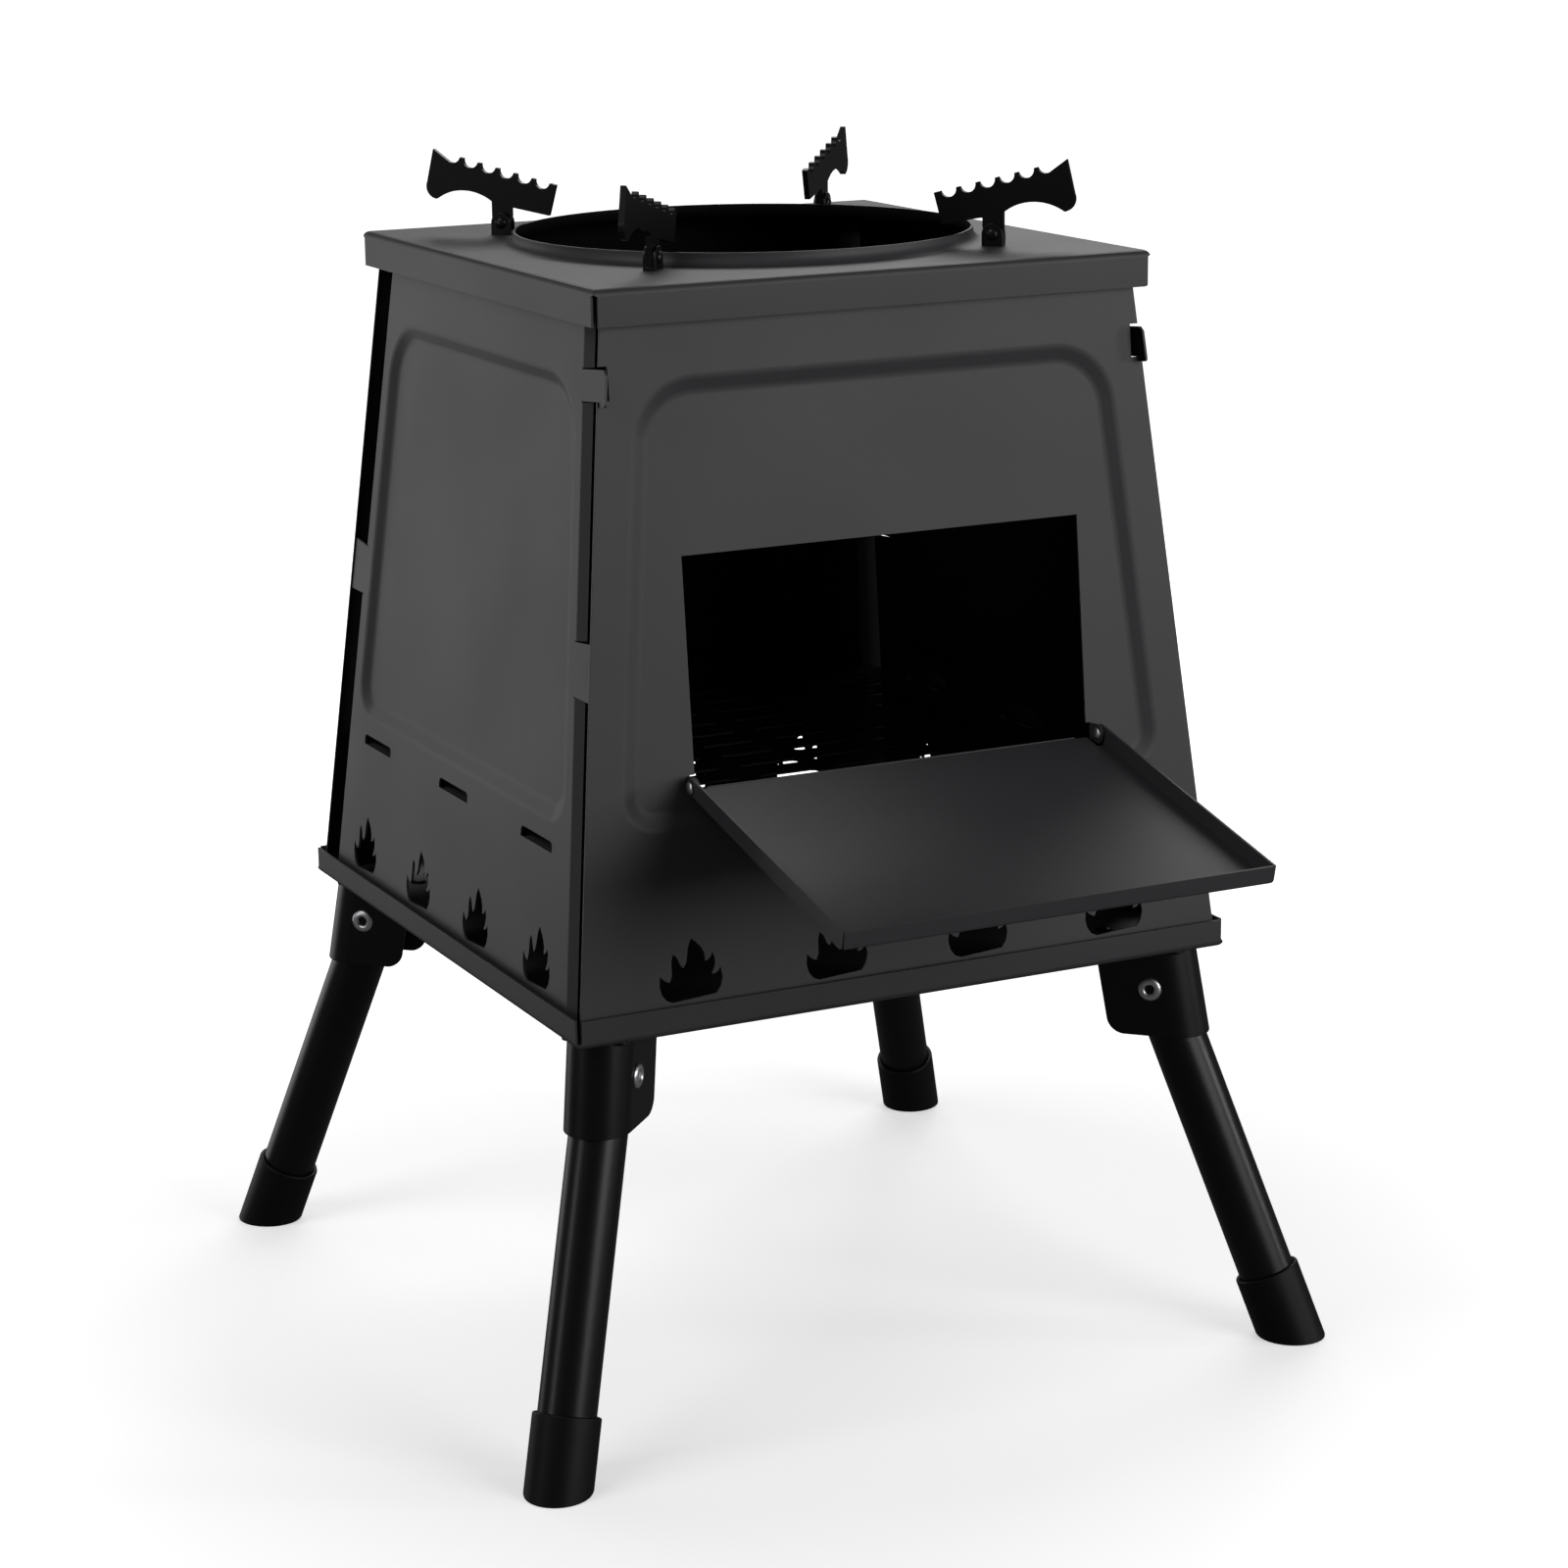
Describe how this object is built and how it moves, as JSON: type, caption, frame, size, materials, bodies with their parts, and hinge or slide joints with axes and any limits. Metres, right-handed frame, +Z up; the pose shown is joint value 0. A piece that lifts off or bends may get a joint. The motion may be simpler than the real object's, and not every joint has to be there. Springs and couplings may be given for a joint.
{
  "type": "folding camp wood stove",
  "caption": "Camp wood stove: a square fire tower of pressed sheet walls on splayed folding legs, with a fold-down door, flame-shaped air vents and tilting toothed pot supports on its lid.",
  "frame": {"origin": "on the ground, under the centre of the square fire tower and midway between the feet", "axes": "+Z up; the door and its hinge are on the -Y side; +X is to the right when looking at the door from the front"},
  "size_m": [0.3752, 0.4587, 0.5042],
  "materials": {
    "grey_coat": "charcoal grey matte powder coat on sheet steel, finely textured",
    "black_coat": "black satin coat on steel",
    "cap_plastic": "black satin rubber",
    "bright_steel": "bright plated steel rivet heads"
  },
  "bodies": {
    "stove_body": {"base_tray": "grey_coat", "front_wall": "grey_coat", "back_wall": "grey_coat", "left_wall": "grey_coat", "right_wall": "grey_coat", "grate": "black_coat", "door_rivets": "bright_steel", "leg_rivets": "bright_steel", "bracket_rivets": "black_coat", "leg_bracket_front_left": "black_coat", "leg_bracket_front_right": "black_coat", "leg_bracket_back_right": "black_coat", "leg_bracket_back_left": "black_coat"},
    "lid": {"lid": "grey_coat", "support_rivets": "black_coat", "support_bracket_front_left": "black_coat", "support_bracket_front_right": "black_coat", "support_bracket_back_right": "black_coat", "support_bracket_back_left": "black_coat"},
    "door": {"door": "grey_coat"},
    "pot_support_front_left": {"pot_support_front_left": "black_coat"},
    "pot_support_front_right": {"pot_support_front_right": "black_coat"},
    "pot_support_back_right": {"pot_support_back_right": "black_coat"},
    "pot_support_back_left": {"pot_support_back_left": "black_coat"},
    "leg_front_left": {"leg_tube_front_left": "black_coat", "foot_cap_front_left": "cap_plastic"},
    "leg_front_right": {"leg_tube_front_right": "black_coat", "foot_cap_front_right": "cap_plastic"},
    "leg_back_right": {"leg_tube_back_right": "black_coat", "foot_cap_back_right": "cap_plastic"},
    "leg_back_left": {"leg_tube_back_left": "black_coat", "foot_cap_back_left": "cap_plastic"}
  },
  "joints": [
    {"name": "door_hinge", "type": "hinge", "parent": "stove_body", "child": "door", "pos_m": [0, -0.14048, 0.271], "axis": [-1, 0, 0], "range_deg": [0, 108.5]},
    {"name": "lid_lift", "type": "slide", "parent": "stove_body", "child": "lid", "axis": [0, 0, 1], "range_m": [0, 0.12]},
    {"name": "support_tilt_front_left", "type": "hinge", "parent": "lid", "child": "pot_support_front_left", "pos_m": [-0.07778, -0.07778, 0.473], "axis": [-0.7071, 0.7071, 0], "range_deg": [0, 19.5]},
    {"name": "support_tilt_front_right", "type": "hinge", "parent": "lid", "child": "pot_support_front_right", "pos_m": [0.07778, -0.07778, 0.473], "axis": [-0.7071, -0.7071, 0], "range_deg": [0, 19.5]},
    {"name": "support_tilt_back_right", "type": "hinge", "parent": "lid", "child": "pot_support_back_right", "pos_m": [0.07778, 0.07778, 0.473], "axis": [0.7071, -0.7071, 0], "range_deg": [0, 19.5]},
    {"name": "support_tilt_back_left", "type": "hinge", "parent": "lid", "child": "pot_support_back_left", "pos_m": [-0.07778, 0.07778, 0.473], "axis": [0.7071, 0.7071, 0], "range_deg": [0, 19.5]},
    {"name": "leg_fold_front_left", "type": "hinge", "parent": "stove_body", "child": "leg_front_left", "pos_m": [-0.12975, -0.12975, 0.1555], "axis": [0.7071, -0.7071, 0], "range_deg": [0, 111.5]},
    {"name": "leg_fold_front_right", "type": "hinge", "parent": "stove_body", "child": "leg_front_right", "pos_m": [0.12975, -0.12975, 0.1555], "axis": [0.7071, 0.7071, 0], "range_deg": [0, 111.5]},
    {"name": "leg_fold_back_right", "type": "hinge", "parent": "stove_body", "child": "leg_back_right", "pos_m": [0.12975, 0.12975, 0.1555], "axis": [-0.7071, 0.7071, 0], "range_deg": [0, 111.5]},
    {"name": "leg_fold_back_left", "type": "hinge", "parent": "stove_body", "child": "leg_back_left", "pos_m": [-0.12975, 0.12975, 0.1555], "axis": [-0.7071, -0.7071, 0], "range_deg": [0, 111.5]}
  ]
}
